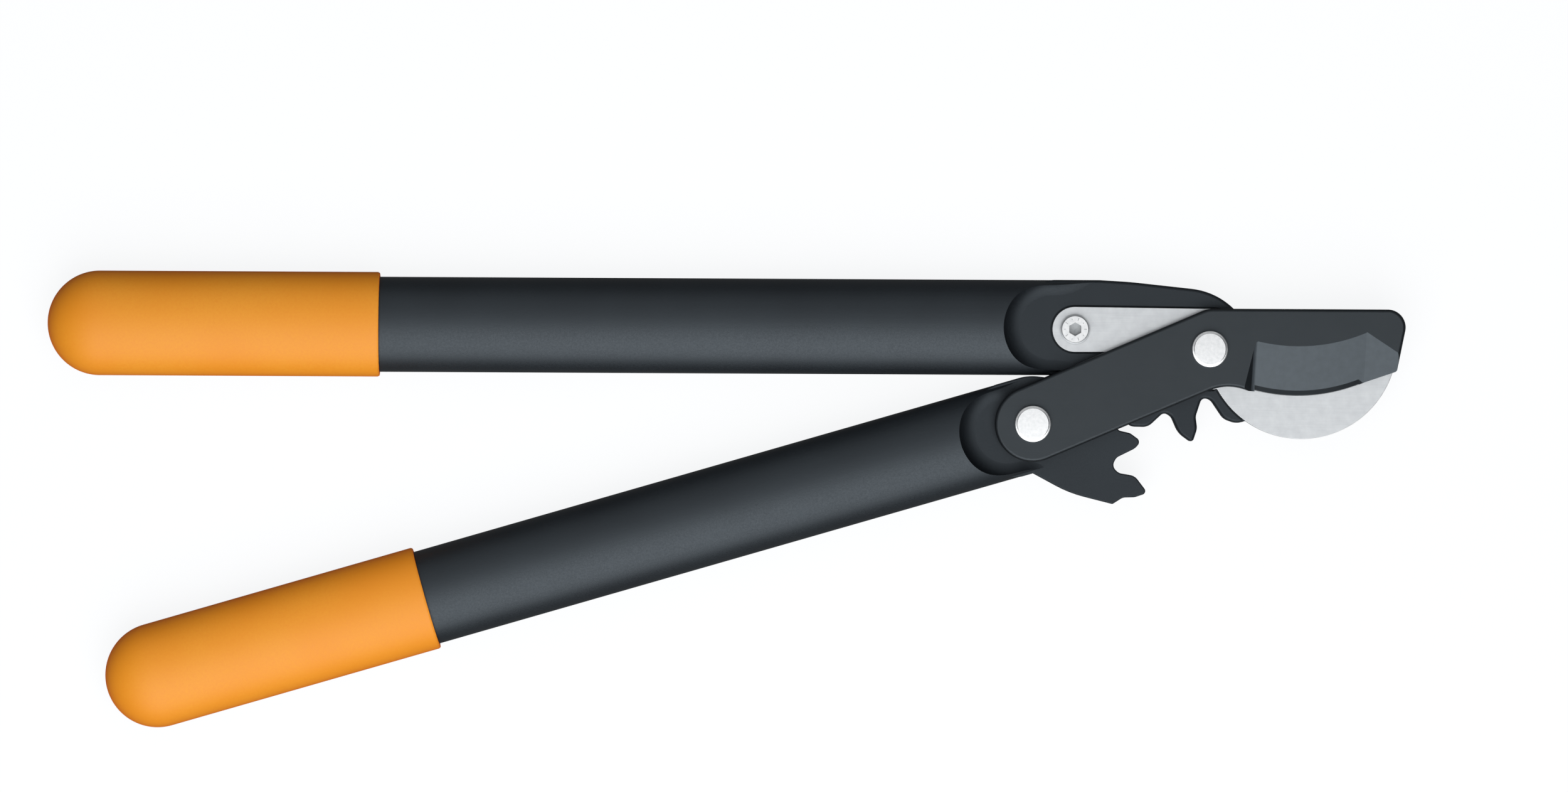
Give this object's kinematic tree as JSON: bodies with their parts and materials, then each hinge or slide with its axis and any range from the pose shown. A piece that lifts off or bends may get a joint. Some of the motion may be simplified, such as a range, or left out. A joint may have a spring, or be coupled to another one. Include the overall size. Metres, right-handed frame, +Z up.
{
  "type": "geared lopper",
  "caption": "Geared bypass lopper: coated blade and bright hook on two pivots, toothed black handles that open together, and orange sleeve grips, lying flat with its jaws closed.",
  "frame": {"origin": "centre of the hook pivot rivet's rear head, on the surface that the tool lies on", "axes": "+X along the upper handle towards the jaws, +Y across the tool towards the blade's back, +Z up from the surface along both pivots"},
  "size_m": [0.4567, 0.1535, 0.0232],
  "materials": {
    "coated_steel": "dark grey low-friction coating, satin",
    "bright_steel": "ground bright steel",
    "moulded_black": "glass-filled nylon, fine satin",
    "orange_rubber": "orange elastomer, satin",
    "white_nylon": "natural nylon"
  },
  "bodies": {
    "blade_frame": {"blade": "coated_steel", "back_strap": "coated_steel", "hook_pivot_rivet": "bright_steel", "lower_pivot_rivet": "bright_steel", "hook_pivot_washer": "white_nylon", "lower_pivot_rear_washer": "white_nylon", "lower_pivot_front_washer": "white_nylon"},
    "upper_handle": {"upper_handle": "moulded_black", "upper_bush": "bright_steel", "hook": "bright_steel", "hook_screw": "bright_steel", "hook_nut": "bright_steel", "upper_grip": "orange_rubber"},
    "lower_handle": {"lower_handle": "moulded_black", "lower_bush": "bright_steel", "lower_grip": "orange_rubber"}
  },
  "joints": [
    {"name": "upper_handle_turn", "type": "hinge", "parent": "blade_frame", "child": "upper_handle", "pos_m": [0, 0, 0], "axis": [0, 0, -1], "range_deg": [0, 60]},
    {"name": "lower_handle_turn", "type": "hinge", "parent": "blade_frame", "child": "lower_handle", "pos_m": [-0.0593, -0.0254, 0], "axis": [0, 0, 1], "range_deg": [0, 50]}
  ],
  "couplings": [
    {"joint": "lower_handle_turn", "follows": "upper_handle_turn", "ratio": 0.83333}
  ]
}
